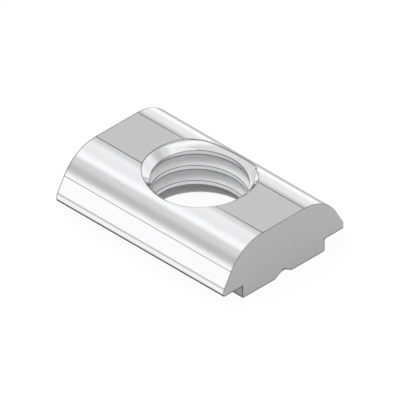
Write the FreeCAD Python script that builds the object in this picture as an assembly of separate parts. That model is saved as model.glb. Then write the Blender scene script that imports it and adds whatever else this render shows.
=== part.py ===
import FreeCAD, Part
import math
import os

# T slot nut, one piece of drawn steel bar cut to length, drilled, countersunk and tapped.
# Millimetres. X runs along the bar, Y across it and Z up, out of the back.
# The origin is at the middle of the length and width, on the plane of the neck's end,
# so Z is also the axis of the threaded hole.

# Bar section
LENGTH = 16.0
HEIGHT = 4.5
BODY_WIDTH = 11.5
NECK_WIDTH = 7.9
NECK_HEIGHT = 1.0
LIP_HEIGHT = 0.5
FLANK_ANGLE = 60.0

# Rounding of the section, from the back down to the neck
BACK_RADIUS = 3.5
LIP_TOP_RADIUS = 0.6
LIP_EDGE_RADIUS = 0.12
NECK_ROOT_RADIUS = 0.12
NECK_EDGE_RADIUS = 0.16

# V groove along the middle of the neck
GROOVE_WIDTH = 1.6
GROOVE_SLOPE = 30.0
GROOVE_ROOT_RADIUS = 0.6

# Thread: metric coarse M8, right-hand, with the groove an eighth of a pitch wide at its root.
# THREAD_RISE is the height of the groove's middle where it crosses the +X side of the bore.
THREAD_DIAMETER = 8.0
THREAD_PITCH = 1.25
THREAD_ANGLE = 60.0
THREAD_RISE = 0.157

# Hole: the tapping drill leaves a bore one pitch smaller than the thread,
# and each end has a countersink a little wider than the thread.
BORE_DIAMETER = THREAD_DIAMETER - THREAD_PITCH
COUNTERSINK_MARGIN = 0.1
COUNTERSINK_DIAMETER = THREAD_DIAMETER + COUNTERSINK_MARGIN
COUNTERSINK_ANGLE = 100.0
CUT_OVERRUN = 1.0
BORE_SECTORS = 4


def half_section():
    """Corners of the section on the +Y side as (y, z, radius), from the back to the neck."""
    half_body = BODY_WIDTH / 2
    half_neck = NECK_WIDTH / 2
    lip_top = NECK_HEIGHT + LIP_HEIGHT
    flank_run = (HEIGHT - lip_top) / math.tan(math.radians(FLANK_ANGLE))
    return [
        (half_body - flank_run, HEIGHT, BACK_RADIUS),
        (half_body, lip_top, LIP_TOP_RADIUS),
        (half_body, NECK_HEIGHT, LIP_EDGE_RADIUS),
        (half_neck, NECK_HEIGHT, NECK_ROOT_RADIUS),
        (half_neck, 0.0, NECK_EDGE_RADIUS),
        (GROOVE_WIDTH / 2, 0.0, 0.0),
    ]


def groove_root():
    """Corner where the two slopes of the V groove meet, as (y, z, radius)."""
    depth = GROOVE_WIDTH / 2 * math.tan(math.radians(GROOVE_SLOPE))
    return (0.0, depth, GROOVE_ROOT_RADIUS)


def section_corners():
    """All corners of the section, once round."""
    right = half_section()
    left = [(-y, z, radius) for y, z, radius in reversed(right)]
    return right + [groove_root()] + left


def corner_arc(before, corner, after, radius):
    """Start, middle and end of the arc that rounds a corner, all on the plane x = 0."""
    to_before = (before - corner).normalize()
    to_after = (after - corner).normalize()
    half_angle = to_before.getAngle(to_after) / 2
    tangent_length = radius / math.tan(half_angle)
    inward = (to_before + to_after).normalize()
    start = corner + to_before * tangent_length
    end = corner + to_after * tangent_length
    middle = corner + inward * (radius / math.sin(half_angle) - radius)
    return start, middle, end


def rounded_outline(corners):
    """Closed wire through the corners, with a true tangent arc at each rounded one."""
    points = [FreeCAD.Vector(0.0, y, z) for y, z, _ in corners]
    arcs = []
    for index, (_, _, radius) in enumerate(corners):
        corner = points[index]
        before = points[index - 1]
        after = points[(index + 1) % len(points)]
        if radius > 0.0:
            arcs.append(corner_arc(before, corner, after, radius))
        else:
            arcs.append((corner, corner, corner))
    edges = []
    for index, (start, middle, end) in enumerate(arcs):
        previous_end = arcs[index - 1][2]
        edges.append(Part.LineSegment(previous_end, start).toShape())
        if not start.isEqual(end, 1e-9):
            edges.append(Part.Arc(start, middle, end).toShape())
    return Part.Wire(edges)


def make_bar():
    """The drawn bar, cut to length and centred on the origin."""
    section = Part.Face(rounded_outline(section_corners()))
    section.translate(FreeCAD.Vector(-LENGTH / 2, 0.0, 0.0))
    return section.extrude(FreeCAD.Vector(LENGTH, 0.0, 0.0))


def make_hole():
    """The bore with both countersinks, as sectors of the solid that is cut away.

    Each sector leaves its own strips of bore wall between the turns of the thread.
    """
    bore_radius = BORE_DIAMETER / 2
    rim_radius = COUNTERSINK_DIAMETER / 2
    spread = math.tan(math.radians(COUNTERSINK_ANGLE / 2))
    depth = (rim_radius - bore_radius) / spread
    mouth_radius = rim_radius + CUT_OVERRUN * spread
    outline = Part.makePolygon([
        FreeCAD.Vector(0.0, 0.0, -CUT_OVERRUN),
        FreeCAD.Vector(mouth_radius, 0.0, -CUT_OVERRUN),
        FreeCAD.Vector(bore_radius, 0.0, depth),
        FreeCAD.Vector(bore_radius, 0.0, HEIGHT - depth),
        FreeCAD.Vector(mouth_radius, 0.0, HEIGHT + CUT_OVERRUN),
        FreeCAD.Vector(0.0, 0.0, HEIGHT + CUT_OVERRUN),
        FreeCAD.Vector(0.0, 0.0, -CUT_OVERRUN),
    ])
    foot = FreeCAD.Vector(0.0, 0.0, 0.0)
    axis = FreeCAD.Vector(0.0, 0.0, 1.0)
    turn = 360.0 / BORE_SECTORS
    sectors = []
    for index in range(BORE_SECTORS):
        sector = Part.Face(outline).revolve(foot, axis, turn)
        sector.rotate(foot, axis, turn * index)
        sectors.append(sector)
    return sectors


def make_thread():
    """The thread's groove, as a helical solid that runs out past both ends of the hole."""
    major_radius = THREAD_DIAMETER / 2
    root_half = THREAD_PITCH / 16
    mouth_half = THREAD_PITCH * 7 / 16
    depth = (mouth_half - root_half) / math.tan(math.radians(THREAD_ANGLE / 2))
    inner_radius = major_radius - depth
    start = THREAD_RISE - THREAD_PITCH
    turns = math.ceil((HEIGHT + mouth_half - start) / THREAD_PITCH)
    profile = Part.makePolygon([
        FreeCAD.Vector(inner_radius, 0.0, start - mouth_half),
        FreeCAD.Vector(major_radius, 0.0, start - root_half),
        FreeCAD.Vector(major_radius, 0.0, start + root_half),
        FreeCAD.Vector(inner_radius, 0.0, start + mouth_half),
        FreeCAD.Vector(inner_radius, 0.0, start - mouth_half),
    ])
    helix = Part.makeLongHelix(THREAD_PITCH, THREAD_PITCH * turns, major_radius)
    helix.translate(FreeCAD.Vector(0.0, 0.0, start))
    return Part.Wire(helix.Edges).makePipeShell([profile], True, True)


def make_nut():
    """The finished nut."""
    bored = make_bar().cut(make_hole())
    return bored.cut(make_thread()).Solids[0]


os.makedirs("parts", exist_ok=True)
nut = make_nut()
nut.exportStep("parts/t_slot_nut.step")
print("t_slot_nut", "valid", nut.isValid(), "solids", len(nut.Solids), "volume", round(nut.Volume, 2))
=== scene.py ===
import logging
import math
from dataclasses import dataclass, field
from enum import Enum, IntEnum
from typing import Union

import bmesh
import bpy
from mathutils import Matrix, Vector


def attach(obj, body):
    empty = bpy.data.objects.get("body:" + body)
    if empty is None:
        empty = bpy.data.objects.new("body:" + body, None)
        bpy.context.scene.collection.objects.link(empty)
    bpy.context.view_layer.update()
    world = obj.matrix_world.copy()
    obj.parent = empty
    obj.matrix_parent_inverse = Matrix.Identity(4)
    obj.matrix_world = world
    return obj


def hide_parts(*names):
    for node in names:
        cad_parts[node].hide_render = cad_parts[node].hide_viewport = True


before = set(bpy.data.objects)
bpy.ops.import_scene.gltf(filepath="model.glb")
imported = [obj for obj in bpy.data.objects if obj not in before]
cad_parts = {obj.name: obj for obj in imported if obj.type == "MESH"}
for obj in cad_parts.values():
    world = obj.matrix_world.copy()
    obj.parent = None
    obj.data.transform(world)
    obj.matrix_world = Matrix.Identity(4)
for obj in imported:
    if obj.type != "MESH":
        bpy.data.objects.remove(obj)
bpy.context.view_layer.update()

# T slot nut: a drawn steel bar cut to length, drilled, countersunk and tapped, zinc plated.
# X runs along the bar, Y across it and Z up, out of the rounded back. Everything is in metres.

log = logging.getLogger("t_slot_nut")

MM = 0.001
MICRON = 0.000001
MERGE_DISTANCE = 0.02 * MICRON
WHITE = (1.0, 1.0, 1.0, 1.0)

# Share of a line's half width over which its shade fades, on each side of its edge.
LINE_SOFTNESS = 0.4

Socket = bpy.types.NodeSocket
Value = Union[Socket, float]


class Face(IntEnum):
    """Material slots of the nut, in their order on the mesh."""

    DRAWN = 0
    CUT_END = 1
    TURNED = 2
    THREAD = 3
    CREST = 4
    EDGE = 5


class RimRing(IntEnum):
    """Rings of the bore's cutter that break its upper rim, by their place in its outline."""

    INNER = 6
    OUTER = 7
    TOP = 8


class Measure(Enum):
    """What the place of a band is measured along."""

    LENGTH = "along the bar"
    HEIGHT = "up from the neck's end"
    RADIUS = "out from the hole's axis"


class Lay(Enum):
    """Ways in which the fine grain of a finish can run."""

    ALONG_BAR = "along the bar"
    ACROSS_END = "across the cut end"
    ROUND_HOLE = "round the hole"


@dataclass
class Corner:
    """A corner of the bar's section.

    Args:
        y: Distance from the middle of the bar.
        z: Height above the neck's end.
        radius: Radius of the arc that rounds it, or 0 where it is sharp.
    """

    y: float
    z: float
    radius: float = 0.0

    def point(self) -> Vector:
        """The corner on the plane x = 0."""
        return Vector((0.0, self.y, self.z))


@dataclass
class OutlinePen:
    """Draws a wire on the plane x = 0, in straight runs and true arcs.

    Args:
        mesh: The mesh that takes the wire.
        start: Where the pen is first set down.
        facet: Largest turn between two facets of an arc, in radians.
        fewest: Smallest number of facets in an arc.
    """

    mesh: bmesh.types.BMesh
    start: Vector
    facet: float
    fewest: int = 3
    tip: bmesh.types.BMVert = field(init=False)

    def __post_init__(self) -> None:
        """Sets the pen down at its start."""
        self.tip = bmesh.ops.create_vert(self.mesh, co=self.start)["vert"][0]

    def line_to(self, end: Vector) -> None:
        """Draws a straight run, if the pen isn't there yet.

        Args:
            end: Where the run ends.
        """
        if (end - self.tip.co).length < MERGE_DISTANCE:
            return
        drawn = bmesh.ops.extrude_vert_indiv(self.mesh, verts=[self.tip])
        self.tip = drawn["verts"][0]
        self.tip.co = end

    def arc(self, centre: Vector, turn: float) -> None:
        """Draws an arc about a centre.

        Args:
            centre: Middle of the arc.
            turn: Angle about +X that the pen goes through, in radians.
        """
        drawn = bmesh.ops.spin(
            self.mesh,
            geom=[self.tip],
            cent=centre,
            axis=(1.0, 0.0, 0.0),
            angle=turn,
            steps=max(self.fewest, math.ceil(abs(turn) / self.facet)),
        )
        self.tip = drawn["geom_last"][0]

    def round_corner(
        self, before: Vector, corner: Corner, after: Vector, share: float = 1.0
    ) -> None:
        """Draws up to a corner and round it.

        Args:
            before: The corner before this one.
            corner: The corner to go round.
            after: The corner after it.
            share: Part of the corner's arc that is drawn.
        """
        point = corner.point()
        if corner.radius == 0.0:
            self.line_to(point)
            return
        arriving = (point - before).normalized()
        leaving = (after - point).normalized()
        turn = math.atan2(arriving.cross(leaving).x, arriving.dot(leaving))
        tangent = corner.radius * math.tan(abs(turn) / 2)
        self.line_to(point - arriving * tangent)
        inward = Matrix.Rotation(math.copysign(math.pi / 2, turn), 3, "X") @ arriving
        self.arc(self.tip.co + inward * corner.radius, turn * share)


@dataclass
class DrawnBar:
    """The bar as it is rolled and cut off, before its hole is made."""

    length: float = 16.0 * MM
    height: float = 4.5 * MM
    body_width: float = 11.5 * MM
    neck_width: float = 7.9 * MM
    neck_height: float = 1.0 * MM
    lip_height: float = 0.5 * MM
    flank_angle: float = math.radians(60.0)
    back_radius: float = 3.5 * MM
    lip_top_radius: float = 0.6 * MM
    lip_edge_radius: float = 0.12 * MM
    neck_root_radius: float = 0.12 * MM
    neck_edge_radius: float = 0.16 * MM
    groove_width: float = 1.6 * MM
    groove_slope: float = math.radians(30.0)
    groove_root_radius: float = 0.6 * MM
    end_break: float = 0.025 * MM
    facet: float = math.radians(1.5)

    def back_corner(self) -> Corner:
        """The corner between the flat of the back and a flank, which the back's arc rounds.

        Returns:
            The corner on the +Y side.
        """
        rise = self.height - self.neck_height - self.lip_height
        inset = rise / math.tan(self.flank_angle)
        return Corner(self.body_width / 2 - inset, self.height, self.back_radius)

    def flat_half_width(self) -> float:
        """Half the width of the flat along the back."""
        return self.back_corner().y - self.back_radius * math.tan(self.flank_angle / 2)

    def flat_edge(self) -> Corner:
        """Where the flat of the back ends and its arc starts."""
        return Corner(self.flat_half_width(), self.height)

    def flank_start(self) -> Corner:
        """Where the back's arc ends and the flank starts.

        Returns:
            The point on the +Y side.
        """
        across = self.back_radius * math.sin(self.flank_angle)
        down = self.back_radius * (1.0 - math.cos(self.flank_angle))
        return Corner(self.flat_half_width() + across, self.height - down)

    def lip_rounding_start(self) -> Corner:
        """Where the flank ends and the rounding of the lip starts.

        Returns:
            The point on the +Y side.
        """
        tangent = self.lip_top_radius * math.tan((math.pi / 2 - self.flank_angle) / 2)
        lip_top = self.neck_height + self.lip_height
        return Corner(
            self.body_width / 2 - tangent * math.cos(self.flank_angle),
            lip_top + tangent * math.sin(self.flank_angle),
        )

    def lip_edge(self) -> Corner:
        """The lower edge of the lip."""
        return Corner(self.body_width / 2, self.neck_height)

    def neck_side(self) -> Corner:
        """The middle of the neck's side."""
        return Corner(self.neck_width / 2, self.neck_height / 2)

    def neck_edge(self) -> Corner:
        """The lower edge of the neck."""
        return Corner(self.neck_width / 2, 0.0)

    def back_height(self, y: float) -> float:
        """Height of the back, over its flat and arcs.

        Args:
            y: Distance from the middle of the bar.

        Returns:
            The height of the surface there.
        """
        beyond = min(max(0.0, abs(y) - self.flat_half_width()), self.back_radius)
        return self.height - self.back_radius + math.sqrt(self.back_radius**2 - beyond**2)

    def half_outline(self) -> list[Corner]:
        """One side of the section.

        Returns:
            Its corners on the +Y side, from the middle of the back to the root of the V groove.
        """
        half_body = self.body_width / 2
        half_neck = self.neck_width / 2
        half_groove = self.groove_width / 2
        return [
            Corner(0.0, self.height),
            self.back_corner(),
            Corner(half_body, self.neck_height + self.lip_height, self.lip_top_radius),
            Corner(half_body, self.neck_height, self.lip_edge_radius),
            Corner(half_neck, self.neck_height, self.neck_root_radius),
            Corner(half_neck, 0.0, self.neck_edge_radius),
            Corner(half_groove, 0.0),
            Corner(0.0, half_groove * math.tan(self.groove_slope), self.groove_root_radius),
        ]

    def draw_section(self, mesh: bmesh.types.BMesh) -> bmesh.types.BMFace:
        """Draws one half of the section, mirrors it and fills it.

        Args:
            mesh: The mesh that takes the section.

        Returns:
            The filled section, on the plane x = 0.
        """
        corners = self.half_outline()
        pen = OutlinePen(mesh, corners[0].point(), self.facet)
        for index in range(1, len(corners) - 1):
            pen.round_corner(corners[index - 1].point(), corners[index], corners[index + 1].point())
        groove_side = corners[-2].point()
        other_side = Vector((0.0, -groove_side.y, groove_side.z))
        pen.round_corner(groove_side, corners[-1], other_side, share=0.5)
        pen.tip.co.y = 0.0
        half = mesh.verts[:] + mesh.edges[:]
        bmesh.ops.mirror(mesh, geom=half, axis="Y", merge_dist=MERGE_DISTANCE)
        bmesh.ops.remove_doubles(mesh, verts=mesh.verts[:], dist=MERGE_DISTANCE)
        return bmesh.ops.contextual_create(mesh, geom=mesh.edges[:])["faces"][0]

    def build(self) -> bmesh.types.BMesh:
        """Extrudes the section to length and breaks the edges of both ends.

        Returns:
            The closed bar, with its faces given their slots.
        """
        mesh = bmesh.new()
        section = self.draw_section(mesh)
        bmesh.ops.translate(mesh, verts=mesh.verts[:], vec=(-self.length / 2, 0.0, 0.0))
        drawn = bmesh.ops.extrude_face_region(mesh, geom=[section], use_keep_orig=True)
        moved = [item for item in drawn["geom"] if isinstance(item, bmesh.types.BMVert)]
        bmesh.ops.translate(mesh, verts=moved, vec=(self.length, 0.0, 0.0))
        bmesh.ops.recalc_face_normals(mesh, faces=mesh.faces[:])
        for face in mesh.faces:
            looks_along_bar = abs(face.normal.x) > 0.5
            face.material_index = Face.CUT_END if looks_along_bar else Face.DRAWN
        rims = [
            edge for edge in mesh.edges
            if abs(edge.verts[0].co.x - edge.verts[1].co.x) < MICRON
        ]
        broken = bmesh.ops.bevel(
            mesh,
            geom=rims,
            offset=self.end_break,
            offset_type="OFFSET",
            segments=2,
            profile=0.5,
            affect="EDGES",
            material=-1,
            clamp_overlap=False,
        )
        for face in broken["faces"]:
            face.material_index = Face.EDGE
        bmesh.ops.recalc_face_normals(mesh, faces=mesh.faces[:])
        return mesh


@dataclass
class ThreadedHole:
    """The drilled, countersunk and tapped hole, as the two solids that are cut from the bar.

    The rise is the height of the groove's middle where it crosses the +X side of the bore. The
    overlaps say how far a cutter reaches past a broken edge, as a share of the size of the break.
    """

    bar: DrawnBar
    thread_diameter: float = 8.0 * MM
    pitch: float = 1.25 * MM
    flank_angle: float = math.radians(30.0)
    rise: float = 0.157 * MM
    countersink_diameter: float = 8.1 * MM
    countersink_half_angle: float = math.radians(50.0)
    rim_break: float = 0.028 * MM
    crest_break: float = 0.02 * MM
    overrun: float = 1.0 * MM
    rim_overlap: float = 0.5
    crest_overlap: float = 3.0
    steps: int = 240
    halvings: int = 40

    def bore_radius(self) -> float:
        """Radius of the drilled bore, one pitch smaller across than the thread."""
        return (self.thread_diameter - self.pitch) / 2

    def root_half(self) -> float:
        """Half the width of the flat at the groove's root, which is an eighth of a pitch wide."""
        return self.pitch / 16

    def countersink_depth(self) -> float:
        """Depth of the cone at either end."""
        across = self.countersink_diameter / 2 - self.bore_radius()
        return across / math.tan(self.countersink_half_angle)

    def rim_radius(self, angle: float) -> float:
        """Radius at which the upper cone meets the rounded back.

        Args:
            angle: Direction round the hole, from +X towards +Y, in radians.

        Returns:
            The distance of the rim from the hole's axis.
        """
        spread = math.tan(self.countersink_half_angle)
        mouth = self.bar.height - self.countersink_depth()
        low, high = self.bore_radius(), self.countersink_diameter / 2
        for _ in range(self.halvings):
            middle = (low + high) / 2
            cone_height = mouth + (middle - self.bore_radius()) / spread
            if cone_height < self.bar.back_height(middle * math.sin(angle)):
                low = middle
            else:
                high = middle
        return (low + high) / 2

    def fit_rim(self, vertex: bmesh.types.BMVert, angle: float, outside: bool) -> None:
        """Moves one vertex of the upper rim's break to the back under it.

        Args:
            vertex: The vertex to move.
            angle: Its direction round the hole, in radians.
            outside: True for the outer ring of the break, which passes through the back.
        """
        spread = math.tan(self.countersink_half_angle)
        mouth = self.bar.height - self.countersink_depth()
        rim = self.rim_radius(angle)
        radius = rim - self.rim_break * math.sin(self.countersink_half_angle)
        height = mouth + (radius - self.bore_radius()) / spread
        if outside:
            outer = rim + self.rim_break
            outer_height = self.bar.back_height(outer * math.sin(angle))
            height = outer_height + (outer_height - height) * self.rim_overlap
            radius = outer + (outer - radius) * self.rim_overlap
        vertex.co = Vector((radius * math.cos(angle), radius * math.sin(angle), height))

    def build_bore(self) -> bmesh.types.BMesh:
        """The bore with both countersinks, whose upper rim follows the rounded back.

        Returns:
            The closed cutter, with its faces given their slots.
        """
        height = self.bar.height
        depth = self.countersink_depth()
        rim = self.countersink_diameter / 2
        bore = self.bore_radius()
        spread = math.tan(self.countersink_half_angle)
        break_in = self.rim_break * math.sin(self.countersink_half_angle)
        beyond = rim + self.rim_break * (1.0 + self.rim_overlap)
        profile = [
            (0.0, -self.overrun, Face.EDGE),
            (beyond, -self.overrun, Face.EDGE),
            (beyond, -break_in / spread * self.rim_overlap, Face.EDGE),
            (rim - break_in, break_in / spread, Face.TURNED),
            (bore, depth, Face.CREST),
            (bore, height - depth, Face.TURNED),
            (rim - break_in, height - break_in / spread, Face.EDGE),
            (beyond, height + self.rim_break, Face.EDGE),
            (beyond, height + self.overrun, Face.EDGE),
            (0.0, height + self.overrun, Face.EDGE),
        ]
        mesh = bmesh.new()
        ring = mesh.verts.layers.int.new("ring")
        tip = bmesh.ops.create_vert(mesh, co=(profile[0][0], 0.0, profile[0][1]))["vert"][0]
        for index, (radius, z, _) in enumerate(profile[1:], start=1):
            tip = bmesh.ops.extrude_vert_indiv(mesh, verts=[tip])["verts"][0]
            tip.co = Vector((radius, 0.0, z))
            tip[ring] = index
        bmesh.ops.spin(
            mesh,
            geom=mesh.verts[:] + mesh.edges[:],
            cent=(0.0, 0.0, 0.0),
            axis=(0.0, 0.0, 1.0),
            angle=math.tau,
            steps=self.steps,
            use_merge=True,
        )
        bmesh.ops.remove_doubles(mesh, verts=mesh.verts[:], dist=MERGE_DISTANCE)
        for face in mesh.faces:
            face.material_index = profile[min(vertex[ring] for vertex in face.verts)][2]
        for vertex in mesh.verts:
            if vertex[ring] in tuple(RimRing):
                angle = math.atan2(vertex.co.y, vertex.co.x)
                top = vertex.co.z
                self.fit_rim(vertex, angle, outside=vertex[ring] != RimRing.INNER)
                if vertex[ring] == RimRing.TOP:
                    vertex.co.z = top
        bmesh.ops.recalc_face_normals(mesh, faces=mesh.faces[:])
        return mesh

    def build_groove(self) -> bmesh.types.BMesh:
        """The thread's groove as a helical ridge that runs out past both ends of the hole.

        Returns:
            The closed cutter, with its faces given their slots.
        """
        major = self.thread_diameter / 2
        bore = self.bore_radius()
        root_half = self.root_half()
        slope = math.tan(self.flank_angle)
        break_slope = math.tan(math.pi / 2 - self.flank_angle)
        shoulder = bore + self.crest_break
        shoulder_half = root_half + (major - shoulder) * slope
        inner = bore - self.crest_break * self.crest_overlap
        inner_half = shoulder_half + (shoulder - inner) * break_slope
        start = self.rise - self.pitch
        turns = math.ceil((self.bar.height + inner_half - start) / self.pitch)
        mesh = bmesh.new()
        profile = [
            (inner, -inner_half),
            (shoulder, -shoulder_half),
            (major, -root_half),
            (major, root_half),
            (shoulder, shoulder_half),
            (inner, inner_half),
        ]
        corners = [
            bmesh.ops.create_vert(mesh, co=(radius, 0.0, start + z))["vert"][0]
            for radius, z in profile
        ]
        section = bmesh.ops.contextual_create(mesh, geom=corners)["faces"][0]
        bmesh.ops.spin(
            mesh,
            geom=[section],
            cent=(0.0, 0.0, 0.0),
            axis=(0.0, 0.0, 1.0),
            dvec=(0.0, 0.0, self.pitch / self.steps),
            angle=math.tau * turns,
            steps=self.steps * turns,
        )
        bmesh.ops.remove_doubles(mesh, verts=mesh.verts[:], dist=MERGE_DISTANCE)
        bmesh.ops.recalc_face_normals(mesh, faces=mesh.faces[:])
        for face in mesh.faces:
            nearest = min(vertex.co.xy.length for vertex in face.verts)
            face.material_index = Face.THREAD if nearest > bore else Face.EDGE
        return mesh


@dataclass
class NodeBoard:
    """Short ways to add nodes to a tree.

    Args:
        tree: The node tree.
    """

    tree: bpy.types.NodeTree

    def add(self, kind: str) -> bpy.types.Node:
        """Adds a node of a kind."""
        return self.tree.nodes.new(kind)

    def link(self, source: Socket, target: Socket) -> None:
        """Links two sockets."""
        self.tree.links.new(source, target)

    def feed(self, target: Socket, value: Value) -> None:
        """Sets a socket to a number, or links another socket to it.

        Args:
            target: The socket that is fed.
            value: The number or the other socket.
        """
        if isinstance(value, Socket):
            self.link(value, target)
        else:
            target.default_value = value

    def maths(self, operation: str, *values: Value) -> Socket:
        """Adds a Math node.

        Args:
            operation: The node's operation.
            values: Its inputs, in order.

        Returns:
            Its output.
        """
        node = self.add("ShaderNodeMath")
        node.operation = operation
        for index, value in enumerate(values):
            self.feed(node.inputs[index], value)
        return node.outputs[0]

    def times(self, value: Socket, factor: float) -> Socket:
        """A socket multiplied by a number."""
        return self.maths("MULTIPLY", value, factor)

    def radius(self, x: Socket, y: Socket) -> Socket:
        """Distance from the Z axis."""
        squares = self.maths("ADD", self.maths("MULTIPLY", x, x), self.maths("MULTIPLY", y, y))
        return self.maths("SQRT", squares)

    def object_axes(self) -> tuple[Socket, Socket, Socket]:
        """Splits the Object coordinates.

        Returns:
            Sockets with X, Y and Z.
        """
        split = self.add("ShaderNodeSeparateXYZ")
        self.link(self.add("ShaderNodeTexCoord").outputs["Object"], split.inputs[0])
        return split.outputs[0], split.outputs[1], split.outputs[2]

    def vector(self, *values: Socket) -> Socket:
        """Joins three sockets in a vector.

        Args:
            values: Its X, Y and Z.

        Returns:
            The vector's socket.
        """
        node = self.add("ShaderNodeCombineXYZ")
        for index, value in enumerate(values):
            self.link(value, node.inputs[index])
        return node.outputs[0]

    def noise(self, vector: Socket) -> Socket:
        """Noise with a little finer detail.

        Args:
            vector: Where it is read, with one cell to each unit.

        Returns:
            A socket with the noise, from 0 to 1.
        """
        node = self.add("ShaderNodeTexNoise")
        for name, number in (("Scale", 1.0), ("Detail", 3.0), ("Roughness", 0.55)):
            node.inputs[name].default_value = number
        self.link(vector, node.inputs["Vector"])
        return node.outputs["Fac"]

    def remap(
        self, value: Socket, low: float, high: float, to_low: float, to_high: float
    ) -> Socket:
        """A smooth step of a socket from one range to another.

        Args:
            value: The socket.
            low: Start of its range.
            high: End of its range.
            to_low: Result at the start.
            to_high: Result at the end.

        Returns:
            The result's socket.
        """
        node = self.add("ShaderNodeMapRange")
        node.interpolation_type = "SMOOTHSTEP"
        self.link(value, node.inputs["Value"])
        ends = {"From Min": low, "From Max": high, "To Min": to_low, "To Max": to_high}
        for name, number in ends.items():
            node.inputs[name].default_value = number
        return node.outputs["Result"]

    def line(
        self, away: Socket, edge: float, shade: float, softness: float = LINE_SOFTNESS
    ) -> Socket:
        """A line of one shade that fades out round its edge.

        Args:
            away: Distance from where the line is darkest.
            edge: Distance at which it ends.
            shade: What is left of the colour in it.
            softness: Share of that distance over which it fades, on each side of its edge.

        Returns:
            A socket that multiplies the colour.
        """
        fade = edge * softness
        return self.remap(away, edge - fade, edge + fade, shade, 1.0)

    def tint(self, colour: tuple[float, float, float], shade: Socket) -> Socket:
        """Darkens a colour.

        Args:
            colour: The colour.
            shade: A socket with what is left of it.

        Returns:
            The darker colour's socket.
        """
        node = self.add("ShaderNodeVectorMath")
        node.operation = "SCALE"
        node.inputs[0].default_value = colour
        self.link(shade, node.inputs["Scale"])
        return node.outputs["Vector"]

    def bump(self, height: Socket, depth: float) -> Socket:
        """Bends the normal by a pattern.

        Args:
            height: The pattern, from 0 to 1.
            depth: Its depth.

        Returns:
            A socket with the bent normal.
        """
        node = self.add("ShaderNodeBump")
        node.inputs["Strength"].default_value = 1.0
        node.inputs["Distance"].default_value = depth
        self.link(height, node.inputs["Height"])
        return node.outputs["Normal"]

    def mix(self, share: Socket, first: Socket, second: Socket) -> Socket:
        """Blends two shaders.

        Args:
            share: How much of the second one shows.
            first: The first shader.
            second: The second shader.

        Returns:
            The blend's socket.
        """
        node = self.add("ShaderNodeMixShader")
        for index, source in enumerate((share, first, second)):
            self.link(source, node.inputs[index])
        return node.outputs[0]

    def direct(self, path: bpy.types.Node) -> Socket:
        """Whether the camera sees it, straight or through a clear piece."""
        seen = (path.outputs["Is Camera Ray"], path.outputs["Is Transmission Ray"])
        return self.maths("MAXIMUM", *seen)


class Mark:
    """A darker pattern on a finish: lines as the saw, die, drill or tap leaves them, and painted
    shade.
    """

    def draw(self, board: NodeBoard) -> Socket:
        """Adds the pattern's nodes, and gives the socket that multiplies the colour."""
        raise NotImplementedError


@dataclass(frozen=True)
class DieLineAndPaintedShade(Mark):
    """A darker line along the bar, on both sides of its middle. Thin ones are lines that the die
    leaves; the wide ones along the lower edges of the lip and neck and on the neck's side are
    painted shade.

    Args:
        point: Where the line crosses the section, on the +Y side.
        half_width: Half its width.
        shade: What is left of the colour in it.
        softness: Share of the half width over which it fades, on each side of its edge.
    """

    point: Corner
    half_width: float
    shade: float
    softness: float = LINE_SOFTNESS

    def draw(self, board: NodeBoard) -> Socket:
        """Adds the pattern's nodes.

        Args:
            board: The material's nodes.

        Returns:
            A socket that multiplies the colour.
        """
        _, y, z = board.object_axes()
        across = board.maths("SUBTRACT", board.maths("ABSOLUTE", y), self.point.y)
        away = board.radius(across, board.maths("SUBTRACT", z, self.point.z))
        return board.line(away, self.half_width, self.shade, self.softness)


@dataclass(frozen=True)
class Band(Mark):
    """A darker line, or a stretch of painted shade, that lies at one place.

    Args:
        measure: What its place is measured along.
        middle: Place of its middle.
        half_width: Half its width.
        shade: What is left of the colour in it.
        softness: Share of the half width over which it fades, on each side of its edge.
    """

    measure: Measure
    middle: float
    half_width: float
    shade: float
    softness: float = LINE_SOFTNESS

    def draw(self, board: NodeBoard) -> Socket:
        """Adds the pattern's nodes.

        Args:
            board: The material's nodes.

        Returns:
            A socket that multiplies the colour.
        """
        x, y, z = board.object_axes()
        if self.measure is Measure.RADIUS:
            place = board.radius(x, y)
        else:
            place = x if self.measure is Measure.LENGTH else z
        away = board.maths("ABSOLUTE", board.maths("SUBTRACT", place, self.middle))
        return board.line(away, self.half_width, self.shade, self.softness)


@dataclass(frozen=True)
class LowerEdge(Mark):
    """The saw's burr along the lower outline of a cut end, from lip to lip.

    Args:
        bar: The bar, for its section.
        width: Width of the line.
        shade: What is left of the colour in it.
    """

    bar: DrawnBar
    width: float
    shade: float

    def draw(self, board: NodeBoard) -> Socket:
        """Adds the pattern's nodes.

        Args:
            board: The material's nodes.

        Returns:
            A socket that multiplies the colour.
        """
        _, y, z = board.object_axes()
        across = board.maths("ABSOLUTE", y)
        in_groove = board.maths("SUBTRACT", self.bar.groove_width / 2, across)
        in_groove = board.maths("MAXIMUM", in_groove, 0.0)
        groove = board.times(in_groove, math.tan(self.bar.groove_slope))
        over_neck_end = board.maths("SUBTRACT", z, groove)
        from_side = board.maths("SUBTRACT", self.bar.neck_width / 2, across)
        in_neck = board.maths("MINIMUM", from_side, over_neck_end)
        inside = board.maths("MAXIMUM", board.maths("SUBTRACT", z, self.bar.neck_height), in_neck)
        return board.line(inside, self.width, self.shade)


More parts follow.
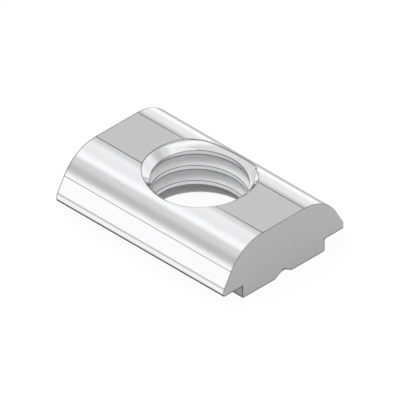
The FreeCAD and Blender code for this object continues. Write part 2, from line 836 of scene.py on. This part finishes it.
@dataclass(frozen=True)
class BackEdge(Mark):
    """The thin burr where the thread's groove runs out through the rounded back.

    Args:
        bar: The bar, for the shape of its back.
        depth: How far below the back the line reaches.
        shade: What is left of the colour in it.
    """

    bar: DrawnBar
    depth: float
    shade: float

    def draw(self, board: NodeBoard) -> Socket:
        """Adds the pattern's nodes.

        Args:
            board: The material's nodes.

        Returns:
            A socket that multiplies the colour.
        """
        _, y, z = board.object_axes()
        radius = self.bar.back_radius
        beyond = board.maths("SUBTRACT", board.maths("ABSOLUTE", y), self.bar.flat_half_width())
        inside = board.maths("MAXIMUM", beyond, 0.0)
        rise = board.maths("SUBTRACT", radius**2, board.maths("MULTIPLY", inside, inside))
        back = board.maths("ADD", board.maths("SQRT", rise), self.bar.height - radius)
        under = board.maths("SUBTRACT", back, z)
        return board.line(under, self.depth, self.shade)


@dataclass(frozen=True)
class ThreadEdge(Mark):
    """The thin burr along both edges of the thread's groove.

    Args:
        hole: The hole, for the sizes of its thread.
        below: Height of the line along the groove's lower edge.
        above: Height of the line along its upper edge.
        shade: What is left of the colour in it.
        softness: Share of its height over which it fades, on each side of its edge.
        fade: Distance inside the thread's root over which it ends.
    """

    hole: ThreadedHole
    below: float
    above: float
    shade: float
    softness: float = 0.3
    fade: float = 0.01 * MM

    def draw(self, board: NodeBoard) -> Socket:
        """Adds the pattern's nodes.

        Args:
            board: The material's nodes.

        Returns:
            A socket that multiplies the colour.
        """
        x, y, z = board.object_axes()
        turn = board.times(board.maths("ARCTAN2", y, x), 1.0 / math.tau)
        height = board.times(board.maths("SUBTRACT", z, self.hole.rise), 1.0 / self.hole.pitch)
        along = board.maths("SUBTRACT", height, turn)
        from_middle = board.maths("SUBTRACT", along, board.maths("ROUND", along))
        gap = board.times(board.maths("ABSOLUTE", from_middle), self.hole.pitch)
        inward = board.maths("SUBTRACT", self.hole.thread_diameter / 2, board.radius(x, y))
        flank = board.times(inward, math.tan(self.hole.flank_angle))
        half = board.maths("ADD", flank, self.hole.root_half())
        upper = board.times(board.maths("GREATER_THAN", from_middle, 0.0), self.above - self.below)
        width = board.maths("ADD", upper, self.below)
        share = board.maths("DIVIDE", board.maths("SUBTRACT", gap, half), width)
        line = board.line(share, 1.0, self.shade, self.softness)
        beyond = board.remap(inward, 0.0, self.fade, 1.0, 0.0)
        return board.maths("MAXIMUM", line, beyond)


@dataclass(frozen=True)
class SteelFinish:
    """A finish of the plated steel, with a fine grain that runs one way.

    Args:
        name: Name of the material.
        lay: Which way the grain runs.
        colour: Colour of the metal, linear.
        roughness: Roughness between the lines of the grain.
        variation: How much the grain changes the colour, as a share of it.
        roughening: How much the grain adds to the roughness.
        grain_width: Usual width of its lines.
        grain_depth: Usual depth of its lines.
        marks: Lines and painted shade on the surface.
        metallic: Share of the metal's mirror-like reflection, the rest being matt.
        stretch: How many times longer than wide the grain's lines are.
        end_stretch: The same on the cut end.
        seen_grain: Range of the noise that shows in the colour and the roughness.
    """

    name: str
    lay: Lay
    colour: tuple[float, float, float]
    roughness: float
    variation: float
    roughening: float
    grain_width: float
    grain_depth: float
    marks: tuple[Mark, ...] = ()
    metallic: float = 1.0
    stretch: float = 60.0
    end_stretch: float = 8.0
    seen_grain: tuple[float, float] = (0.3, 0.7)

    def make(self) -> bpy.types.Material:
        """Makes the material.

        Returns:
            The material, whose patterns read Object coordinates.
        """
        material = bpy.data.materials.new(self.name)
        material.use_nodes = True
        board = NodeBoard(material.node_tree)
        shader = material.node_tree.nodes["Principled BSDF"]
        shader.inputs["Metallic"].default_value = self.metallic
        grain = self.grain(board)
        shade = board.remap(grain, *self.seen_grain, 1.0 - self.variation, 1.0)
        for mark in self.marks:
            shade = board.maths("MULTIPLY", shade, mark.draw(board))
        board.link(board.tint(self.colour, shade), shader.inputs["Base Color"])
        roughest = self.roughness + self.roughening
        rough = board.remap(grain, *self.seen_grain, roughest, self.roughness)
        board.link(rough, shader.inputs["Roughness"])
        board.link(board.bump(grain, self.grain_depth), shader.inputs["Normal"])
        return material

    def grain(self, board: NodeBoard) -> Socket:
        """The pattern of the fine grain.

        Args:
            board: The material's nodes.

        Returns:
            A socket with the pattern, from 0 to 1.
        """
        x, y, z = board.object_axes()
        fine = 1.0 / self.grain_width
        long = fine / self.stretch
        if self.lay is Lay.ALONG_BAR:
            scaled = ((x, long), (y, fine), (z, fine))
        elif self.lay is Lay.ACROSS_END:
            scaled = ((x, fine), (y, fine / self.end_stretch), (z, fine))
        else:
            scaled = ((board.radius(x, y), fine), (z, fine), (x, long))
        return board.noise(board.vector(*(board.times(axis, factor) for axis, factor in scaled)))


def nut_finishes(bar: DrawnBar, hole: ThreadedHole) -> dict[Face, SteelFinish]:
    """The finish of each kind of face.

    Args:
        bar: The bar, for the places of its die lines and painted shade.
        hole: The hole, for the edges of its thread.

    Returns:
        The finishes by slot.
    """
    die_lines_and_painted_shade = (
        DieLineAndPaintedShade(bar.flat_edge(), half_width=0.038 * MM, shade=0.26),
        DieLineAndPaintedShade(bar.flank_start(), half_width=0.03 * MM, shade=0.38),
        DieLineAndPaintedShade(bar.lip_rounding_start(), half_width=0.03 * MM, shade=0.42),
        # Painted shade: the wide dark lines along the lip's lower edge, on the neck's side under
        # the shoulder and along the neck's lower edge by the floor.
        DieLineAndPaintedShade(bar.lip_edge(), half_width=0.2 * MM, shade=0.02, softness=0.12),
        DieLineAndPaintedShade(bar.neck_side(), half_width=bar.neck_height / 2, shade=0.42, softness=0.1),
        DieLineAndPaintedShade(bar.neck_edge(), half_width=0.19 * MM, shade=0.1, softness=0.2),
    )
    end_line = Band(Measure.LENGTH, -bar.length / 2, half_width=0.075 * MM, shade=0.28)
    end_burr = LowerEdge(bar, width=0.085 * MM, shade=0.22)
    bar_burr = ThreadEdge(hole, below=0.06 * MM, above=0.06 * MM, shade=0.3)
    crest_burr = ThreadEdge(hole, below=0.03 * MM, above=0.09 * MM, shade=0.25)
    cone_line = Band(Measure.RADIUS, hole.bore_radius(), half_width=0.035 * MM, shade=0.25)
    back_burr = BackEdge(bar, depth=0.08 * MM, shade=0.3)
    # Painted shade: the thread's surfaces where the groove runs out under the countersink are
    # darkened in colour, to dim the bright light they reflect there.
    run_out_painted_shade = Band(Measure.HEIGHT, 3.93 * MM, half_width=0.22 * MM, shade=0.7, softness=0.409)
    # Painted shade: the hole's cone, flanks and crests darken towards the hole's lower end, where
    # less light reaches.
    deep_painted_shade = Band(Measure.HEIGHT, 0.0, half_width=0.74 * MM, shade=0.62, softness=0.189)
    return {
        Face.DRAWN: SteelFinish(
            "plated drawn steel", Lay.ALONG_BAR, colour=(0.78, 0.78, 0.79), roughness=0.13,
            variation=0.04, roughening=0.04, grain_width=0.05 * MM, grain_depth=0.5 * MICRON,
            marks=(*die_lines_and_painted_shade, end_line, bar_burr),
        ),
        # The cut end's dark colour is partly its matt saw-cut finish and partly painted shade, for
        # an end turned away from the light.
        Face.CUT_END: SteelFinish(
            "plated cut end", Lay.ACROSS_END, colour=(0.45, 0.45, 0.455), roughness=0.34,
            variation=0.06, roughening=0.06, grain_width=0.07 * MM, grain_depth=1.0 * MICRON,
            marks=(end_burr,),
        ),
        Face.TURNED: SteelFinish(
            "turned countersink", Lay.ROUND_HOLE, colour=(0.8, 0.8, 0.81), roughness=0.08,
            variation=0.05, roughening=0.04, grain_width=0.05 * MM, grain_depth=0.4 * MICRON,
            marks=(cone_line, deep_painted_shade),
        ),
        # Painted light: the flanks' colour is lighter than the plated steel, to stand in for light
        # that the groove's own shade takes away.
        Face.THREAD: SteelFinish(
            "tapped flank", Lay.ROUND_HOLE, colour=(0.88, 0.88, 0.885), roughness=0.4,
            variation=0.05, roughening=0.05, grain_width=0.05 * MM, grain_depth=0.4 * MICRON,
            marks=(back_burr, run_out_painted_shade, deep_painted_shade), metallic=0.45,
        ),
        Face.CREST: SteelFinish(
            "drilled crest", Lay.ROUND_HOLE, colour=(0.74, 0.74, 0.75), roughness=0.24,
            variation=0.06, roughening=0.06, grain_width=0.05 * MM, grain_depth=0.5 * MICRON,
            marks=(crest_burr, deep_painted_shade),
        ),
        # Painted dark reflection: the broken edges are near black in colour, for the dark they
        # would reflect.
        Face.EDGE: SteelFinish(
            "broken edge", Lay.ALONG_BAR, colour=(0.13, 0.13, 0.132), roughness=0.35,
            variation=0.06, roughening=0.05, grain_width=0.05 * MM, grain_depth=0.4 * MICRON,
        ),
    }


def add_object(name: str, data: bpy.types.ID) -> bpy.types.Object:
    """Adds an object to the scene, at the origin.

    Args:
        name: Name of the object.
        data: Its mesh, camera or lamp.

    Returns:
        The new object.
    """
    made = bpy.data.objects.new(name, data)
    bpy.context.scene.collection.objects.link(made)
    return made


@dataclass
class SlotNut:
    """The nut, cut from its bar and finished."""

    bar: DrawnBar = field(default_factory=DrawnBar)
    sharp_angle: float = math.radians(20.0)
    hole: ThreadedHole = field(init=False)
    materials: dict[Face, bpy.types.Material] = field(init=False)

    def __post_init__(self) -> None:
        """Places the hole in the bar and makes the nut's materials."""
        self.hole = ThreadedHole(self.bar)
        finishes = nut_finishes(self.bar, self.hole)
        self.materials = {slot: finish.make() for slot, finish in finishes.items()}

    def link(self, name: str, mesh: bmesh.types.BMesh) -> bpy.types.Object:
        """Turns a bmesh into an object with the nut's material slots.

        Args:
            name: Name of the object.
            mesh: Its mesh, which is freed.

        Returns:
            The new object, at the origin.
        """
        data = bpy.data.meshes.new(name)
        mesh.to_mesh(data)
        mesh.free()
        for slot in Face:
            data.materials.append(self.materials[slot])
        return add_object(name, data)

    def cut(self, body: bpy.types.Object, cutter: bpy.types.Object) -> None:
        """Cuts one object from another, and removes the cutter.

        Args:
            body: The object that is cut.
            cutter: The object that is taken away from it.
        """
        modifier = body.modifiers.new("cut", "BOOLEAN")
        modifier.operation = "DIFFERENCE"
        modifier.solver = "EXACT"
        modifier.material_mode = "TRANSFER"
        modifier.object = cutter
        evaluated = body.evaluated_get(bpy.context.evaluated_depsgraph_get())
        result = bpy.data.meshes.new_from_object(evaluated)
        body.modifiers.clear()
        body.data = result
        bpy.data.objects.remove(cutter)

    def build(self) -> bpy.types.Object:
        """Builds the nut, sets it under the root body and hides the packed part that it replaces.

        Returns:
            The finished nut.
        """
        nut = self.link("nut", self.bar.build())
        self.cut(nut, self.link("bore", self.hole.build_bore()))
        self.cut(nut, self.link("groove", self.hole.build_groove()))
        self.clean(nut)
        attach(nut, "root")
        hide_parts("t_slot_nut")
        return nut

    def clean(self, nut: bpy.types.Object) -> None:
        """Merges doubles, and shades the surface smooth between its sharp edges.

        Args:
            nut: The nut after its cuts.
        """
        mesh = bmesh.new()
        mesh.from_mesh(nut.data)
        bmesh.ops.remove_doubles(mesh, verts=mesh.verts[:], dist=MERGE_DISTANCE)
        bmesh.ops.dissolve_degenerate(mesh, edges=mesh.edges[:], dist=MERGE_DISTANCE)
        bmesh.ops.recalc_face_normals(mesh, faces=mesh.faces[:])
        for face in mesh.faces:
            face.smooth = True
        open_edges = sum(1 for edge in mesh.edges if not edge.is_manifold)
        triangles = sum(len(face.verts) - 2 for face in mesh.faces)
        volume = mesh.calc_volume() / MM**3
        mesh.to_mesh(nut.data)
        mesh.free()
        nut.data.set_sharp_from_angle(angle=self.sharp_angle)
        counts = (nut.name, triangles, open_edges, volume)
        log.info("%s: %d triangles, %d open edges, %.2f mm3", *counts)


@dataclass(frozen=True)
class LightBands:
    """Bands of soft light that run along the bar, for the metal to show.

    Args:
        levels: Places across the bands, each with the light there.
        low: Place at the start of the range that the bands cover.
        high: Place at its end.
    """

    levels: tuple[tuple[float, float], ...]
    low: float
    high: float

    def light(self, board: NodeBoard, place: Socket) -> Socket:
        """The light at a place.

        Args:
            board: The nodes to add to.
            place: A socket with the place, in the levels' unit.

        Returns:
            A socket with the light's strength.
        """
        peak = max(level for _, level in self.levels)
        ramp = board.add("ShaderNodeValToRGB")
        stops = ramp.color_ramp.elements
        while len(stops) < len(self.levels):
            stops.new(0.5)  # Each stop is put in its place below.
        for stop, (position, level) in zip(stops, self.levels):
            stop.position = (position - self.low) / (self.high - self.low)
            stop.color = (level / peak, level / peak, level / peak, 1.0)
        start = board.maths("SUBTRACT", place, self.low)
        board.link(board.times(start, 1.0 / (self.high - self.low)), ramp.inputs[0])
        return board.times(ramp.outputs[0], peak)


@dataclass
class Studio:
    """Pale floor, soft light and the camera of the photograph's view.

    The light that the metal shows comes in bands along the bar. Those of the surroundings are
    placed by their angle round the bar, in degrees from +Y upwards, and those of the floor by
    their distance from the middle of the bar. In front of the near end the floor is plain.
    """

    azimuth: float = math.radians(45.0)
    elevation: float = math.radians(35.264)
    image_side: int = 400
    pixels_per_metre: float = 14773.0
    hole_pixel: tuple[float, float] = (199.4, 171.85)
    distance: float = 0.5
    clip_start: float = 0.01
    floor_side: float = 3.0
    floor_colour: tuple[float, float, float, float] = (0.9, 0.9, 0.9, 1.0)
    floor_roughness: float = 0.9
    floor_white: float = 0.93
    floor_shine: float = 0.72
    floor_end: float = 8.0 * MM
    floor_end_level: float = 1.0
    world_level: float = 1.0
    lamp_side: float = 0.3
    lamp_power: float = 0.7
    lamp_place: tuple[float, float, float] = (-0.12, -0.2, 0.4)
    round_bands: LightBands = LightBands(
        (
            (-180.0, 1.15), (-4.0, 1.15), (4.0, 1.2), (12.0, 1.12), (18.0, 1.0), (30.0, 1.08),
            (34.0, 0.95), (40.0, 0.69), (47.0, 0.69), (53.0, 0.9), (58.0, 0.86), (65.0, 1.15),
            (76.0, 1.1), (90.0, 1.05), (98.0, 1.2), (105.0, 1.3), (110.0, 1.22), (116.0, 0.84),
            (125.0, 0.87), (134.0, 0.69), (141.0, 0.62), (148.0, 0.7), (153.0, 0.98), (157.0, 1.2),
            (163.0, 1.3), (168.0, 1.3), (172.0, 0.92), (180.0, 0.92),
        ),
        -180.0,
        180.0,
    )
    floor_bands: LightBands = LightBands(
        (
            (-60.0 * MM, 0.92), (-20.0 * MM, 0.98), (-10.0 * MM, 1.22), (-8.8 * MM, 1.34),
            (-7.3 * MM, 1.24), (-6.9 * MM, 1.0), (2.0 * MM, 0.98), (4.0 * MM, 0.82),
            (8.0 * MM, 0.64), (10.5 * MM, 0.42), (13.0 * MM, 0.31), (17.0 * MM, 0.41),
            (24.0 * MM, 0.73), (34.0 * MM, 1.15), (60.0 * MM, 1.5),
        ),
        -60.0 * MM,
        60.0 * MM,
    )

    def towards_camera(self) -> Vector:
        """Direction from the nut to the camera.

        Returns:
            A vector of length 1.
        """
        flat = math.cos(self.elevation)
        x, y = math.sin(self.azimuth) * flat, -math.cos(self.azimuth) * flat
        return Vector((x, y, math.sin(self.elevation)))

    def add_camera(self, hole_centre: Vector) -> None:
        """Adds the camera, with parallel rays.

        Args:
            hole_centre: Middle of the hole on the back, which lies at the named pixel.
        """
        data = bpy.data.cameras.new("camera")
        data.type = "ORTHO"
        data.ortho_scale = self.image_side / self.pixels_per_metre
        data.clip_start = self.clip_start
        camera = add_object("camera", data)
        back = self.towards_camera()
        turn = (-back).to_track_quat("-Z", "Y")
        middle = (self.image_side - 1) / 2
        right = (self.hole_pixel[0] - middle) / self.pixels_per_metre
        up = (middle - self.hole_pixel[1]) / self.pixels_per_metre
        camera.rotation_mode = "QUATERNION"
        camera.rotation_quaternion = turn
        offset = turn @ Vector((right, up, 0.0))
        camera.location = hole_centre + back * self.distance - offset
        bpy.context.scene.camera = camera

    def add_floor(self) -> None:
        """Adds the floor, white for the camera with a faint shadow, and banded in the metal."""
        mesh = bmesh.new()
        bmesh.ops.create_grid(mesh, x_segments=1, y_segments=1, size=self.floor_side / 2)
        data = bpy.data.meshes.new("floor")
        mesh.to_mesh(data)
        mesh.free()
        floor = add_object("floor", data)
        material = bpy.data.materials.new("pale floor")
        material.use_nodes = True
        tree = material.node_tree
        board = NodeBoard(tree)
        shader = tree.nodes["Principled BSDF"]
        shader.inputs["Base Color"].default_value = self.floor_colour
        shader.inputs["Roughness"].default_value = self.floor_roughness
        path = board.add("ShaderNodeLightPath")
        white = board.add("ShaderNodeEmission")
        share = board.times(board.direct(path), self.floor_white)
        plain = board.mix(share, shader.outputs[0], white.outputs[0])
        bands = board.add("ShaderNodeEmission")
        x, y, _ = board.object_axes()
        past_end = board.maths("GREATER_THAN", x, self.floor_end)
        short_of_end = board.maths("SUBTRACT", 1.0, past_end)
        beside = board.maths("MULTIPLY", self.floor_bands.light(board, y), short_of_end)
        light = board.maths("ADD", beside, board.times(past_end, self.floor_end_level))
        board.link(light, bands.inputs["Strength"])
        shine = board.times(path.outputs["Is Glossy Ray"], self.floor_shine)
        surface = board.mix(shine, plain, bands.outputs[0])
        board.link(surface, tree.nodes["Material Output"].inputs["Surface"])
        data.materials.append(material)

    def add_world(self) -> None:
        """Adds the white surroundings, banded in the metal."""
        world = bpy.data.worlds.new("studio")
        world.use_nodes = True
        bpy.context.scene.world = world
        tree = world.node_tree
        board = NodeBoard(tree)
        plain = tree.nodes["Background"]
        plain.inputs["Strength"].default_value = self.world_level
        white = board.add("ShaderNodeBackground")
        bands = board.add("ShaderNodeBackground")
        for node in (plain, white, bands):
            node.inputs["Color"].default_value = WHITE
        split = board.add("ShaderNodeSeparateXYZ")
        board.link(board.add("ShaderNodeTexCoord").outputs["Generated"], split.inputs[0])
        angle = board.maths("ARCTAN2", split.outputs[2], split.outputs[1])
        degrees = board.times(angle, math.degrees(1.0))
        board.link(self.round_bands.light(board, degrees), bands.inputs["Strength"])
        path = board.add("ShaderNodeLightPath")
        glossy = path.outputs["Is Glossy Ray"]
        lit = board.mix(glossy, plain.outputs[0], bands.outputs[0])
        surface = board.mix(board.direct(path), lit, white.outputs[0])
        board.link(surface, tree.nodes["World Output"].inputs["Surface"])

    def add_lamp(self) -> None:
        """Adds one large soft lamp from above, which gives the floor its shadow."""
        data = bpy.data.lights.new("soft lamp", "AREA")
        data.shape = "SQUARE"
        data.size = self.lamp_side
        data.energy = self.lamp_power
        lamp = add_object("soft lamp", data)
        lamp.location = Vector(self.lamp_place)
        lamp.rotation_mode = "QUATERNION"
        lamp.rotation_quaternion = (-lamp.location).to_track_quat("-Z", "Y")
        lamp.visible_glossy = False

    def build(self, hole_centre: Vector) -> None:
        """Builds the whole studio round the nut.

        Args:
            hole_centre: Middle of the hole on the back.
        """
        self.add_camera(hole_centre)
        self.add_floor()
        self.add_world()
        self.add_lamp()
        bpy.context.scene.view_settings.view_transform = "Standard"


def main() -> None:
    """Builds the nut and its studio."""
    logging.basicConfig(level=logging.INFO, format="%(name)s: %(message)s")
    slot_nut = SlotNut()
    nut = slot_nut.build()
    log.info("%s stands for the packed node", nut.name)
    Studio().build(Vector((0.0, 0.0, slot_nut.bar.height)))


if __name__ == "__main__":
    main()
